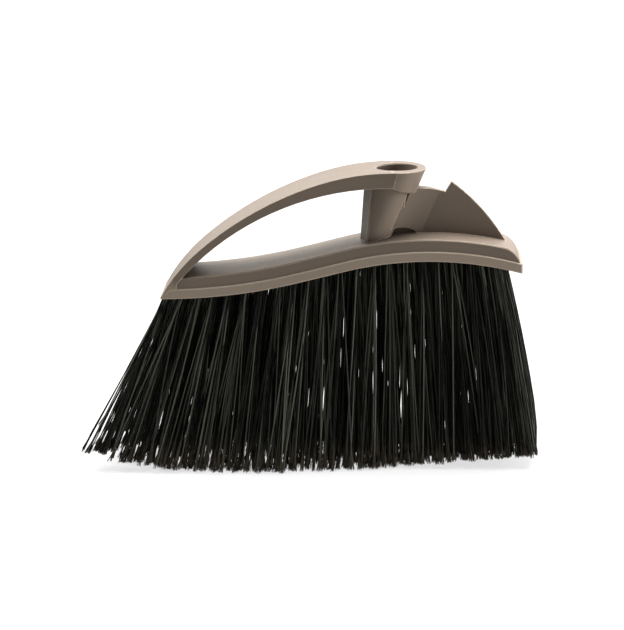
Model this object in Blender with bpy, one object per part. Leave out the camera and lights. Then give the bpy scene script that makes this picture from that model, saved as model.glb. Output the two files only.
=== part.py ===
"""Angle broom head: a moulded block with an arched strap, a leaning pole socket, a fin and set bristles.

The long side lies along X, the view side is -Y, up is +Z. The bristle tips stand on Z = 0.
"""

import math

import bmesh
import bpy
from mathutils import Vector

MM = 0.001

# Block: a thin rim below and a band above it, bent along one S-shaped line
HEAD_WIDTH = 39.0 * MM
BLOCK_LEFT_X = -89.6 * MM
BLOCK_RIGHT_X = 125.3 * MM
CREST_X = 72.0 * MM
CREST_HEIGHT = 127.4 * MM
CREST_RADIUS = 208.0 * MM
HAUNCH_RADIUS = 335.0 * MM
SLOPE_RUN = 26.0 * MM
SLOPE_ANGLE = math.radians(14.6)
RIM_HEIGHT = 5.9 * MM
RIM_BEVEL = 0.45 * MM
RIM_TIP_HEIGHT = 1.6 * MM
RIM_TIP_RUN = 4.6 * MM
BAND_HEIGHT = 7.3 * MM
BAND_RECESS = 0.8 * MM
BAND_SEAT = 3.6 * MM
BAND_INTO_STRAP = 1.0 * MM
BAND_BEVEL = 0.6 * MM
BAND_END_RADIUS = 10.5 * MM
DECK_CROWN = 0.6 * MM
END_CORNER = 1.2 * MM

# Socket mouth, which the strap, the collar and the fin are placed from
SOCKET_MOUTH_X = 50.4 * MM
SOCKET_LEAN = math.radians(20.2)

# Arched strap from the left tip to the collar
STRAP_RISE = 53.0 * MM
STRAP_THICKNESS = 9.2 * MM
STRAP_CREST_SHIFT = 1.1 * MM
STRAP_INNER_SHIFT = 3.8 * MM
STRAP_RUN_SHARES = (0.324, 0.504, 0.172)
STRAP_SINE_SHARES = (0.317, 0.658, 0.875)
STRAP_INNER_SINE_SHARE = 0.765
STRAP_FOOT_WIDTH = 9.9 * MM
STRAP_FOOT_RISE = 8.9 * MM
STRAP_FOOT_SEAT = 0.4 * MM
STRAP_INTO_COLLAR = 1.8 * MM
STRAP_BEVEL = 0.7 * MM
FLUSH = 0.06 * MM

# Collar round the socket mouth
COLLAR_SHIFT = 0.8 * MM
COLLAR_REACH = 18.5 * MM
COLLAR_DRAFT = 0.6 * MM
COLLAR_HEIGHT = 9.4 * MM
COLLAR_BACK_REACH = 3.0 * MM
COLLAR_DIP = 5.3 * MM
COLLAR_BEVEL = 0.7 * MM

# Leaning socket tube, its flat prow and its tapered bore
TUBE_RADIUS = 14.1 * MM
TUBE_TAPER = 1.7 * MM
TUBE_ROOT_RISE = 5.6 * MM
TUBE_INTO_COLLAR = 4.0 * MM
PROW_FOOT_SHARE = 0.281
PROW_TOP_SHARE = 1.229
PROW_EDGE_FOOT_SHARE = 0.054
PROW_EDGE_TOP_SHARE = 0.889
GROOVE_WIDTH = 0.9 * MM
GROOVE_DEPTH = 0.6 * MM
BORE_MOUTH_RADIUS = 11.4 * MM
BORE_FLOOR_RADIUS = 8.4 * MM
BORE_DEPTH = 30.0 * MM
BORE_CHAMFER = 0.6 * MM
CUT_OVERRUN = 6.0 * MM

# Fairing between the tube and the fin, with its scooped foot and its top slit
FAIRING_RIDGE_REACH = 11.2 * MM
FAIRING_RIDGE_HALF = 7.0 * MM
FAIRING_TAIL_REACH = 31.0 * MM
FAIRING_TAIL_RISE = 3.0 * MM
FAIRING_TAIL_HALF = 1.2 * MM
FAIRING_HOLLOW = 0.7 * MM
SCOOP_RUN = 2.9 * MM
SCOOP_HALF_LENGTH = 9.5 * MM
SCOOP_HEIGHT = 5.2 * MM
SCOOP_KEEP_HALF = 1.1 * MM
SLIT_TOP_RUN = 8.5 * MM
SLIT_TOP_WIDTH = 2.6 * MM
SLIT_FOOT_RUN = 4.6 * MM
SLIT_FOOT_DROP = 23.4 * MM
SLIT_KEEP_HALF = 4.2 * MM

# Fin, with its notch and tooth
FIN_THICKNESS = 3.0 * MM
FIN_BEVEL = 0.35 * MM
FIN_INTO_TUBE = 3.0 * MM
FIN_TOP_DROP = 11.0 * MM
FIN_BEND_BACK = 9.2 * MM
FIN_BEND_DROP = 1.2 * MM
NOTCH_BACK = 3.6 * MM
NOTCH_DROP = 14.4 * MM
TOOTH_RUN = 32.7 * MM
TOOTH_DROP = 8.3 * MM
FIN_EDGE_RADIUS = 118.0 * MM
FIN_EDGE_ANGLE = math.radians(36.0)
FIN_END_ANGLE = math.radians(61.0)
FIN_END_SEAT = 1.2 * MM
FIN_ROOT_DEPTH = 5.0 * MM

# Bristle slices set into the underside
CLEARANCE = 0.3 * MM
SLICE_THICKNESS = 2.2 * MM
SLICE_SIDE_WALL = 1.9 * MM
FIRST_TUFT_INSET = 7.6 * MM
LAST_TUFT_INSET = 6.5 * MM
END_PITCH_SHARE = 0.737
LAST_SLICE_REACH = 4.0 * MM
ROW_MARGIN = 3.2 * MM
TUFT_SPREAD = 1.7 * MM
STRAND_ROOT_RADIUS = 1.0 * MM
STRAND_TIP_RADIUS = 1.0 * MM
STRAND_SEAT = 1.2 * MM

# How the strands fan out towards the floor
UPRIGHT_X = 39.0 * MM
FAN_END_INSET = 5.4 * MM
LEFT_SWEEP = 20.8 * MM
TIP_LIFT_X = 45.0 * MM
TIP_LIFT_REACH = 92.0 * MM
TIP_LIFT = 7.6 * MM
FLARE_FROM_X = -30.0 * MM
FLARE_TO_X = 70.0 * MM
LEAN_SHARE = 0.205
SWEEP_POWER = 9
WIDE_FLARE_SHARE = 1.28
NARROW_FLARE_SHARE = 0.32
BOW_SHARE = 0.10
SPLAY_SHARE = 0.375
TUFT_TURN = math.radians(18.4)

# Counts
MAIN_TUFTS = 20
END_TUFTS = 3
ROWS = 5
STRANDS_PER_TUFT = 4
STRAND_SIDES = 3
BLOCK_STATIONS = 34
END_STATIONS = 7
ARC_STEPS = 12
TIP_STEPS = 6
COLLAR_SIDES = 44
TUBE_SIDES = 26
BORE_SIDES = 40
TUBE_STATIONS = 6
TAIL_STEPS = 4

# Places and sizes that follow from the ones above
STRAP_CREST_HEIGHT = CREST_HEIGHT + STRAP_RISE
STRAP_INNER_HEIGHT = STRAP_CREST_HEIGHT - STRAP_THICKNESS
STRAP_CREST_X = SOCKET_MOUTH_X - STRAP_CREST_SHIFT
STRAP_INNER_X = SOCKET_MOUTH_X - STRAP_INNER_SHIFT
COLLAR_X = SOCKET_MOUTH_X - COLLAR_SHIFT
TUBE_ROOT_HEIGHT = CREST_HEIGHT + TUBE_ROOT_RISE
TOOTH_X = SOCKET_MOUTH_X + TOOTH_RUN
NOTCH_X = TOOTH_X - NOTCH_BACK
SLICE_HALF_WIDTH = HEAD_WIDTH / 2 - SLICE_SIDE_WALL
ROW_PITCH = 2 * (SLICE_HALF_WIDTH - ROW_MARGIN) / (ROWS - 1)
FIRST_TUFT_X = BLOCK_LEFT_X + FIRST_TUFT_INSET
TUFT_RUN = BLOCK_RIGHT_X - LAST_TUFT_INSET - FIRST_TUFT_X
TUFT_PITCH = TUFT_RUN / (MAIN_TUFTS - 1 + END_TUFTS * END_PITCH_SHARE)
END_TUFT_PITCH = TUFT_PITCH * END_PITCH_SHARE
FAN_REACH = UPRIGHT_X - BLOCK_LEFT_X - FAN_END_INSET


def clear_scene():
    for old in list(bpy.data.objects):
        bpy.data.objects.remove(old, do_unlink=True)


def plastic(name, colour, roughness):
    """A Principled material with one colour."""
    material = bpy.data.materials.new(name)
    material.use_nodes = True
    shader = material.node_tree.nodes["Principled BSDF"]
    shader.inputs["Base Color"].default_value = (*colour, 1.0)
    shader.inputs["Roughness"].default_value = roughness
    shader.inputs["Metallic"].default_value = 0.0
    return material


def add_object(name, mesh, material=None):
    made = bpy.data.objects.new(name, mesh)
    bpy.context.scene.collection.objects.link(made)
    if material:
        mesh.materials.append(material)
    mesh.shade_smooth()
    mesh.set_sharp_from_angle(angle=math.radians(28))
    return made


def mesh_of(name, work):
    """A mesh from a bmesh, with its faces turned outwards."""
    bmesh.ops.recalc_face_normals(work, faces=work.faces)
    mesh = bpy.data.meshes.new(name)
    work.to_mesh(mesh)
    work.free()
    return mesh


def loft(name, rings):
    """A closed mesh through rings that each hold the same number of points."""
    work = bmesh.new()
    rows = [[work.verts.new(point) for point in ring] for ring in rings]
    count = len(rows[0])
    for low, high in zip(rows, rows[1:]):
        for i in range(count):
            j = (i + 1) % count
            work.faces.new((low[i], low[j], high[j], high[i]))
    work.faces.new(rows[0])
    work.faces.new(rows[-1])
    return mesh_of(name, work)


def prism(name, outline, half_width, bevel=0, square_from=None):
    """An XZ outline extruded to both sides of the mid-plane, its long edges rounded.

    Edges that lie past X = square_from stay square, where another piece takes over.
    """
    work = bmesh.new()
    near = [work.verts.new((x, -half_width, z)) for x, z in outline]
    face = work.faces.new(near)
    moved = bmesh.ops.extrude_face_region(work, geom=[face])["geom"]
    far = [item for item in moved if isinstance(item, bmesh.types.BMVert)]
    bmesh.ops.translate(work, verts=far, vec=(0, 2 * half_width, 0))
    if bevel:
        long_edges = [
            edge
            for edge in work.edges
            if edge.verts[0].co.y == edge.verts[1].co.y
            and not all(
                square_from is not None and v.co.x > square_from for v in edge.verts
            )
        ]
        bmesh.ops.bevel(
            work, geom=long_edges, offset=bevel, segments=2, profile=0.5, affect="EDGES",
            clamp_overlap=True,
        )
    return mesh_of(name, work)


def combine(target, other, operation):
    """Adds a Boolean to the target and hides the other piece from the render."""
    step = target.modifiers.new(other.name, "BOOLEAN")
    step.operation = operation
    step.solver = "EXACT"
    step.object = other
    other.hide_render = True
    other.display_type = "WIRE"


def shares(steps):
    return [i / steps for i in range(steps + 1)]


def arc_drop(radius, run):
    """How far a circle falls below its crest at a run from it."""
    return radius - math.sqrt(max(0, radius**2 - run**2))


def underside(x):
    """Height of the block's lower face: a left haunch, a short straight slope and a crest."""
    slope_top_x = CREST_X - CREST_RADIUS * math.sin(SLOPE_ANGLE)
    slope_foot_x = slope_top_x - SLOPE_RUN
    if x >= slope_top_x:
        return CREST_HEIGHT - arc_drop(CREST_RADIUS, x - CREST_X)
    slope_top = CREST_HEIGHT - CREST_RADIUS * (1 - math.cos(SLOPE_ANGLE))
    if x >= slope_foot_x:
        return slope_top - (slope_top_x - x) * math.tan(SLOPE_ANGLE)
    slope_foot = slope_top - SLOPE_RUN * math.tan(SLOPE_ANGLE)
    sine = math.sin(SLOPE_ANGLE) - (slope_foot_x - x) / HAUNCH_RADIUS
    return slope_foot - HAUNCH_RADIUS * (math.sqrt(1 - sine**2) - math.cos(SLOPE_ANGLE))


def deck_height(x):
    """Height of the band's top edge, which rounds down at the right end."""
    height = underside(x) + RIM_HEIGHT + BAND_HEIGHT
    round_x = band_right() - BAND_END_RADIUS
    if x > round_x:
        height -= arc_drop(BAND_END_RADIUS, x - round_x)
    return height


def band_right():
    return BLOCK_RIGHT_X - BAND_RECESS


def strap_outer():
    """The strap's outer line from its crest to the left tip, as three arcs that meet in line."""
    reach = STRAP_CREST_X - BLOCK_LEFT_X
    x, fall, sine = STRAP_CREST_X, 0.0, 0.0
    line = [(x, fall)]
    steps_of_arcs = (TIP_STEPS, ARC_STEPS, TIP_STEPS)
    for run_share, end, steps in zip(STRAP_RUN_SHARES, STRAP_SINE_SHARES, steps_of_arcs):
        run = reach * run_share
        radius = run / (end - sine)
        level = fall + radius * math.sqrt(1 - sine**2)
        for share in shares(steps)[1:]:
            here = sine + share * (end - sine)
            line.append((x - share * run, level - radius * math.sqrt(1 - here**2)))
        x, fall, sine = line[-1][0], line[-1][1], end
    foot = underside(BLOCK_LEFT_X) + STRAP_FOOT_SEAT
    full = (STRAP_CREST_HEIGHT - foot) / fall
    points = [(STRAP_CREST_X + STRAP_INTO_COLLAR, STRAP_CREST_HEIGHT)]
    return points + [(x, STRAP_CREST_HEIGHT - drop * full) for x, drop in line]


def strap_inner():
    """The strap's inner line from the rim up to the collar, one arc."""
    foot_x = BLOCK_LEFT_X + STRAP_FOOT_WIDTH
    foot = underside(foot_x)
    radius = (STRAP_INNER_X - foot_x) / STRAP_INNER_SINE_SHARE
    start = math.asin(STRAP_INNER_SINE_SHARE)
    full = (STRAP_INNER_HEIGHT - foot - STRAP_FOOT_RISE) / (1 - math.cos(start))
    points = [(foot_x, foot + STRAP_FOOT_SEAT)]
    for share in shares(ARC_STEPS + TIP_STEPS):
        angle = start * (1 - share)
        x = STRAP_INNER_X - radius * math.sin(angle)
        points.append((x, STRAP_INNER_HEIGHT - full * (1 - math.cos(angle))))
    points.append((STRAP_INNER_X + STRAP_INTO_COLLAR, STRAP_INNER_HEIGHT))
    return points


def socket_centre(height):
    """X of the socket's axis at a height."""
    return SOCKET_MOUTH_X - (STRAP_CREST_HEIGHT - height) * math.tan(SOCKET_LEAN)


def stations(left, right):
    """X of the rings along the block: the two ends and the places that all its layers share."""
    step = (BLOCK_RIGHT_X - BLOCK_LEFT_X) / BLOCK_STATIONS
    inner = [BLOCK_LEFT_X + step * i for i in range(1, BLOCK_STATIONS)]
    return [left] + [x for x in inner if left + step / 4 < x < right - step / 4] + [right]


def rounding_stations(left, right):
    """X of the rings round an end of the block, closer together towards its tip."""
    return [left + (right - left) * math.sin(s * math.pi / 2) for s in shares(END_STATIONS)[1:]]


def rounded_block(name, half_width, bottom, top, crown, bevel, left, right, end_radius=0):
    """A lofted bar across the block, from its left to its right end, with rounded edges."""

    def ring(x, inset):
        low, high, half = bottom(x), top(x), half_width - inset
        soft = min(bevel, (high - low) / 3)
        near = [
            (-half + soft, low),
            (-half, low + soft),
            (-half, high - soft),
            (-half + soft, high),
            (-half / 2, high + crown * 3 / 4),
            (0, high + crown),
        ]
        far = [(-y, z) for y, z in reversed(near[:-1])]
        return [(x, y, z) for y, z in near + far]

    corner_x = right - END_CORNER
    places = stations(left, corner_x - end_radius)
    if end_radius:
        places += rounding_stations(corner_x - end_radius, corner_x)
    rings = [ring(x, 0) for x in places]
    for share in shares(END_STATIONS)[1:]:
        angle = share * math.pi / 2
        x = right - END_CORNER * (1 - math.sin(angle))
        rings.append(ring(x, END_CORNER * (1 - math.cos(angle))))
    return loft(name, rings)


def make_rim():
    left = BLOCK_LEFT_X + STRAP_FOOT_SEAT

    def top(x):
        """The rim's top edge, sloping down to the tip under the strap's foot."""
        rise = (RIM_HEIGHT - RIM_TIP_HEIGHT) * (x - left) / RIM_TIP_RUN
        return underside(x) + min(RIM_HEIGHT, RIM_TIP_HEIGHT + rise)

    return rounded_block(
        "rim", HEAD_WIDTH / 2, underside, top, 0, RIM_BEVEL, left, BLOCK_RIGHT_X
    )


def make_band():
    foot_x = BLOCK_LEFT_X + STRAP_FOOT_WIDTH - BAND_INTO_STRAP
    strap_room = STRAP_FOOT_WIDTH / 2

    def top(x):
        """The deck, lowered where the strap's foot covers it."""
        return deck_height(x) - max(0, foot_x + strap_room - x) / 2

    return rounded_block(
        "band", HEAD_WIDTH / 2 - BAND_RECESS, lambda x: underside(x) + BAND_SEAT, top,
        DECK_CROWN, BAND_BEVEL, foot_x, band_right(), BAND_END_RADIUS - END_CORNER,
    )


def make_strap():
    outline = strap_outer()
    outline += strap_inner()
    half = HEAD_WIDTH / 2 - FLUSH
    return prism("strap", outline, half, STRAP_BEVEL, STRAP_INNER_X - FLUSH)


def make_collar():
    """A leaning elliptical ring body whose lower face dips towards its free end."""
    depth = COLLAR_HEIGHT
    lean = math.tan(SOCKET_LEAN)
    bevel = COLLAR_BEVEL

    def ring(drop, inset, dip):
        points = []
        for i in range(COLLAR_SIDES):
            angle = 2 * math.pi * i / COLLAR_SIDES
            side = math.cos(angle)
            z = STRAP_CREST_HEIGHT + FLUSH - drop - dip * max(0, side)
            shift = (STRAP_CREST_HEIGHT - z) * lean
            reach = COLLAR_REACH - inset - COLLAR_DRAFT * drop / depth
            if side < 0:
                reach = COLLAR_BACK_REACH
            x = COLLAR_X - shift + reach * side
            points.append((x, (HEAD_WIDTH / 2 - inset) * math.sin(angle), z))
        return points

    return loft(
        "collar",
        [
            ring(depth, bevel, COLLAR_DIP),
            ring(depth - bevel, 0, COLLAR_DIP),
            ring(bevel, 0, 0),
            ring(bevel / 3, bevel / 3, 0),
            ring(0, bevel, 0),
        ],
    )


def make_tube():
    """The leaning tube, cut flat on its left into a prow, with a fine groove where the flats end."""
    top_height = STRAP_CREST_HEIGHT - TUBE_INTO_COLLAR

    def half_section(height):
        share = (height - TUBE_ROOT_HEIGHT) / (top_height - TUBE_ROOT_HEIGHT)
        radius = TUBE_RADIUS - TUBE_TAPER * (1 - share)
        centre = socket_centre(height)
        prow_share = PROW_FOOT_SHARE + (PROW_TOP_SHARE - PROW_FOOT_SHARE) * share
        edge_share = PROW_EDGE_FOOT_SHARE + (PROW_EDGE_TOP_SHARE - PROW_EDGE_FOOT_SHARE) * share
        prow = centre - TUBE_RADIUS * prow_share
        edge = centre - TUBE_RADIUS * edge_share

        def side(x, inset=0):
            return -math.sqrt(max(0, (radius - inset) ** 2 - (x - centre) ** 2))

        points = [(prow, 0), (edge, side(edge))]
        middle = edge + GROOVE_WIDTH / 2
        points.append((middle, side(middle, GROOVE_DEPTH)))
        start = math.acos((edge + GROOVE_WIDTH - centre) / radius)
        points += [
            (centre + radius * math.cos(start * (1 - s)), -radius * math.sin(start * (1 - s)))
            for s in shares(TUBE_SIDES // 2)
        ]
        return points

    rings = []
    for share in shares(TUBE_STATIONS):
        z = TUBE_ROOT_HEIGHT + (top_height - TUBE_ROOT_HEIGHT) * share
        near = half_section(z)
        far = [(x, -y) for x, y in reversed(near[1:-1])]
        rings.append([(x, y, z) for x, y in near + far])
    return loft("socket_tube", rings)


def make_fairing():
    """The wedge that fairs the tube into the fin, hollowed a little on each side."""
    top_height = STRAP_CREST_HEIGHT - TUBE_INTO_COLLAR
    rings = []
    for share in shares(TUBE_STATIONS):
        z = TUBE_ROOT_HEIGHT + (top_height - TUBE_ROOT_HEIGHT) * share
        centre = socket_centre(z)
        tail = FAIRING_TAIL_REACH + FAIRING_TAIL_RISE * share**2
        near = [(centre, -FAIRING_RIDGE_HALF)]
        for step in shares(TAIL_STEPS):
            x = centre + FAIRING_RIDGE_REACH + (tail - FAIRING_RIDGE_REACH) * step
            y = FAIRING_RIDGE_HALF + (FAIRING_TAIL_HALF - FAIRING_RIDGE_HALF) * step
            near.append((x, FAIRING_HOLLOW * math.sin(math.pi * step) - y))
        far = [(x, -y) for x, y in reversed(near)]
        rings.append([(x, y, z) for x, y in near + far])
    return loft("fairing", rings)


def fin_outline(lower=0):
    """The fin seen from the side: top edge, notch, tooth and the long outer edge."""
    top = STRAP_CREST_HEIGHT - FIN_TOP_DROP
    tooth = STRAP_CREST_HEIGHT - TOOTH_DROP
    points = [
        (socket_centre(top) - FIN_INTO_TUBE, top - lower),
        (NOTCH_X - FIN_BEND_BACK, top - FIN_BEND_DROP - lower),
        (NOTCH_X, STRAP_CREST_HEIGHT - NOTCH_DROP - lower),
        (TOOTH_X, tooth),
    ]
    low_sine, low_cosine = math.sin(FIN_EDGE_ANGLE), math.cos(FIN_EDGE_ANGLE)
    end_x = TOOTH_X + FIN_EDGE_RADIUS * (math.sin(FIN_END_ANGLE) - low_sine)
    fall = tooth - deck_height(end_x) + FIN_END_SEAT
    for share in shares(ARC_STEPS)[1:]:
        angle = FIN_EDGE_ANGLE + (FIN_END_ANGLE - FIN_EDGE_ANGLE) * share
        run = FIN_EDGE_RADIUS * (math.sin(angle) - low_sine)
        fall_share = (low_cosine - math.cos(angle)) / (low_cosine - math.cos(FIN_END_ANGLE))
        points.append((TOOTH_X + run, tooth - fall * fall_share))
    start_x = socket_centre(TUBE_ROOT_HEIGHT) - FIN_INTO_TUBE
    for share in shares(ARC_STEPS):
        x = end_x + (start_x - end_x) * share
        points.append((x, deck_height(x) - FIN_ROOT_DEPTH))
    return points


def wide_fin():
    """The fin's outline as a broad block, which trims the fairing's top."""
    return prism("fairing_trim", fin_outline(FLUSH), HEAD_WIDTH)


def ellipse_prism(name, centre, half_length, height, near, far):
    """An elliptical bar across the part between two depths."""
    rings = []
    for y in (near, far):
        rings.append(
            [
                (
                    centre[0] + half_length * math.cos(2 * math.pi * s),
                    y,
                    centre[1] + height * math.sin(2 * math.pi * s),
                )
                for s in shares(ARC_STEPS * 2)[:-1]
            ]
        )
    return loft(name, rings)


def slit_prism(name, near, far):
    """The narrow wedge slit beside the tube under the collar."""
    top = STRAP_INNER_HEIGHT
    corners = (
        (SOCKET_MOUTH_X + SLIT_TOP_RUN - SLIT_TOP_WIDTH / 2, top),
        (SOCKET_MOUTH_X + SLIT_FOOT_RUN, STRAP_CREST_HEIGHT - SLIT_FOOT_DROP),
        (SOCKET_MOUTH_X + SLIT_TOP_RUN + SLIT_TOP_WIDTH / 2, top),
    )
    return loft(name, [[(x, y, z) for x, z in corners] for y in (near, far)])


def trimmed_fairing():
    """The fairing under the fin's top edge, scooped at its foot and slit beside the tube."""
    fairing = add_object("fairing", make_fairing())
    combine(fairing, add_object("fairing_trim", wide_fin()), "INTERSECT")
    scoop_x = SOCKET_MOUTH_X + SCOOP_RUN
    foot = (scoop_x, deck_height(scoop_x))
    for side, label in ((-1, "near"), (1, "far")):
        scoop = ellipse_prism(
            f"scoop_{label}", foot, SCOOP_HALF_LENGTH, SCOOP_HEIGHT,
            side * SCOOP_KEEP_HALF, side * HEAD_WIDTH,
        )
        combine(fairing, add_object(f"scoop_{label}", scoop), "DIFFERENCE")
        slit = slit_prism(f"slit_{label}", side * SLIT_KEEP_HALF, side * HEAD_WIDTH)
        combine(fairing, add_object(f"slit_{label}", slit), "DIFFERENCE")
    return fairing


def make_bore():
    """The tapered bore along the leaning axis, with a chamfer at its mouth."""
    lean = SOCKET_LEAN
    down = Vector((-math.sin(lean), 0, -math.cos(lean)))
    across = Vector((math.cos(lean), 0, -math.sin(lean)))
    mouth = Vector((SOCKET_MOUTH_X, 0, STRAP_CREST_HEIGHT))
    taper = (BORE_MOUTH_RADIUS - BORE_FLOOR_RADIUS) / BORE_DEPTH
    profile = (
        (-CUT_OVERRUN, BORE_MOUTH_RADIUS + CUT_OVERRUN * taper),
        (BORE_DEPTH, BORE_FLOOR_RADIUS),
    )
    rings = []
    for depth, radius in profile:
        ring = []
        for i in range(BORE_SIDES):
            angle = 2 * math.pi * i / BORE_SIDES
            point = mouth + down * depth + across * radius * math.cos(angle)
            ring.append((point.x, radius * math.sin(angle), point.z))
        rings.append(ring)
    return loft("bore", rings)


def make_mouth_chamfer():
    """A shallow flat-bottomed cone that breaks the mouth's edge."""
    stretch = 1 / math.cos(SOCKET_LEAN)
    rings = []
    for rise in (-2 * BORE_CHAMFER, BORE_CHAMFER):
        radius = BORE_MOUTH_RADIUS + BORE_CHAMFER + rise
        centre = SOCKET_MOUTH_X + rise * math.tan(SOCKET_LEAN)
        rings.append(
            [
                (
                    centre + radius * stretch * math.cos(2 * math.pi * s),
                    radius * math.sin(2 * math.pi * s),
                    STRAP_CREST_HEIGHT + rise,
                )
                for s in shares(BORE_SIDES)[:-1]
            ]
        )
    return loft("mouth_chamfer", rings)


def tuft_columns():
    """X of each column of tufts, wider apart along the block than at its right end."""
    columns = [FIRST_TUFT_X + TUFT_PITCH * i for i in range(MAIN_TUFTS)]
    return columns + [columns[-1] + END_TUFT_PITCH * (i + 1) for i in range(END_TUFTS)]


def slice_bounds():
    """The two ends of each slice: halfway between columns, less half the clearance."""
    columns = tuft_columns()
    middles = [(a + b) / 2 for a, b in zip(columns, columns[1:])]
    starts = [columns[0] - (TUFT_PITCH - CLEARANCE) / 2] + [m + CLEARANCE / 2 for m in middles]
    ends = [m - CLEARANCE / 2 for m in middles] + [columns[-1] + LAST_SLICE_REACH]
    return list(zip(starts, ends))


def make_pocket():
    """The shallow pocket in the underside that the slices sit in."""
    bounds = slice_bounds()
    left, right = bounds[0][0] - CLEARANCE, bounds[-1][1] + CLEARANCE
    half = SLICE_HALF_WIDTH + CLEARANCE
    rings = []
    for x in stations(left, right):
        low = underside(x) - SLICE_THICKNESS
        high = underside(x) + SLICE_THICKNESS + CLEARANCE
        rings.append([(x, -half, low), (x, half, low), (x, half, high), (x, -half, high)])
    return loft("slice_pocket", rings)


def make_head(material):
    """The one-piece moulding: block, strap, collar, socket, fairing and fin, less bore and pocket."""
    head = add_object("head_moulding", make_rim(), material)
    combine(head, add_object("strap", make_strap()), "UNION")
    combine(head, add_object("slice_pocket", make_pocket()), "DIFFERENCE")
    combine(head, add_object("band", make_band()), "UNION")
    combine(head, add_object("collar", make_collar()), "UNION")
    combine(head, add_object("socket_tube", make_tube()), "UNION")
    combine(head, trimmed_fairing(), "UNION")
    fin = prism("fin", fin_outline(), FIN_THICKNESS / 2, FIN_BEVEL)
    combine(head, add_object("fin", fin), "UNION")
    combine(head, add_object("bore", make_bore()), "DIFFERENCE")
    combine(head, add_object("mouth_chamfer", make_mouth_chamfer()), "DIFFERENCE")
    return head


def blend_share(x, start, end):
    """Eases from 0 at the start to 1 at the end."""
    share = min(1, max(0, (x - start) / (end - start)))
    return share * share * (3 - 2 * share)


def tip_x_of(x):
    """Where a column's tips stand: leaning away from the upright place, the far left swept more."""
    left = max(0, (UPRIGHT_X - x) / FAN_REACH)
    return x + LEAN_SHARE * (x - UPRIGHT_X) - LEFT_SWEEP * left**SWEEP_POWER


def flare_of(x):
    """How much wider the rows stand at the floor than at the block."""
    ease = blend_share(x, FLARE_FROM_X, FLARE_TO_X)
    return 1 + WIDE_FLARE_SHARE + (NARROW_FLARE_SHARE - WIDE_FLARE_SHARE) * ease


def tip_of(tuft_x, tuft_y, pitch, offset):
    """The tip of one strand: its tuft's strands spread evenly into the room beside the next tuft."""
    unit = TUFT_SPREAD * math.cos(TUFT_TURN)
    half = pitch / 2
    room_x = tip_x_of(tuft_x + half) - tip_x_of(tuft_x - half)
    room_y = ROW_PITCH * flare_of(tuft_x)
    x = tip_x_of(tuft_x) + SPLAY_SHARE * room_x * offset.x / unit
    y = tuft_y * flare_of(tuft_x) + SPLAY_SHARE * room_y * offset.y / unit
    lifted = min(1, max(0, (x - TIP_LIFT_X) / TIP_LIFT_REACH))
    return Vector((x, y, TIP_LIFT * lifted))


def strand_rings(root, tip, turn):
    """Three level rings of a strand: inside its slice, half way down and at the tip."""
    middle = root.lerp(tip, 1 / 2)
    middle.x += max(0, tip.x - root.x) * BOW_SHARE
    middle.y += (tip.y - root.y) * BOW_SHARE
    middle_radius = (STRAND_ROOT_RADIUS + STRAND_TIP_RADIUS) / 2
    places = ((root, STRAND_ROOT_RADIUS), (middle, middle_radius), (tip, STRAND_TIP_RADIUS))
    rings = []
    for centre, radius in places:
        angles = [turn + 2 * math.pi * i / STRAND_SIDES for i in range(STRAND_SIDES)]
        rings.append(
            [(centre.x + radius * math.cos(a), centre.y + radius * math.sin(a), centre.z) for a in angles]
        )
    return rings


def add_strand(work, rings):
    """One strand's closed skin, added to a bmesh."""
    rows = [[work.verts.new(point) for point in ring] for ring in rings]
    for low, high in zip(rows, rows[1:]):
        for i in range(STRAND_SIDES):
            j = (i + 1) % STRAND_SIDES
            work.faces.new((low[i], low[j], high[j], high[i]))
    work.faces.new(rows[0])
    work.faces.new(rows[-1])


def make_strands(name, column, pitch):
    """All strands of one column as one mesh, its tufts staggered and turned by row."""
    work = bmesh.new()
    stagger = (pitch - CLEARANCE) / 2 - TUFT_SPREAD - STRAND_ROOT_RADIUS
    for row in range(ROWS):
        tuft_y = (row - (ROWS - 1) / 2) * ROW_PITCH
        tuft_x = column + (stagger if row % 2 else -stagger)
        turn = TUFT_TURN if row % 2 else -TUFT_TURN
        for number in range(STRANDS_PER_TUFT):
            angle = turn + 2 * math.pi * number / STRANDS_PER_TUFT
            offset = Vector((math.cos(angle), math.sin(angle), 0)) * TUFT_SPREAD
            x, y = tuft_x + offset.x, tuft_y + offset.y
            root = Vector((x, y, underside(x) + STRAND_SEAT))
            add_strand(work, strand_rings(root, tip_of(tuft_x, tuft_y, pitch, offset), angle))
    return mesh_of(name, work)


def make_slice(name, start, end):
    """The backing slice: a short bar that follows the block's underside."""
    rings = []
    for x in (start, (start + end) / 2, end):
        low, high = underside(x), underside(x) + SLICE_THICKNESS
        half = SLICE_HALF_WIDTH
        rings.append([(x, -half, low), (x, half, low), (x, half, high), (x, -half, high)])
    return loft(name, rings)


def make_bristles(material):
    for number, (column, (start, end)) in enumerate(zip(tuft_columns(), slice_bounds()), 1):
        name = f"bristle_slice_{number:02d}"
        backing = add_object(name, make_slice(name, start, end), material)
        pitch = TUFT_PITCH if number < MAIN_TUFTS else END_TUFT_PITCH
        strands = add_object(f"strands_{number:02d}", make_strands(name, column, pitch))
        combine(backing, strands, "UNION")


def main():
    clear_scene()
    moulded = plastic("warm_grey_plastic", (0.42, 0.38, 0.34), 0.45)
    filament = plastic("black_filament", (0.012, 0.012, 0.011), 0.5)
    make_head(moulded)
    make_bristles(filament)


main()
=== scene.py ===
"""Looks of the angle broom head: satin moulding, split-end bristles and a pale studio.

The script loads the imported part, dresses it and sets the camera of the photograph.
"""

import math
from typing import NamedTuple

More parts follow.
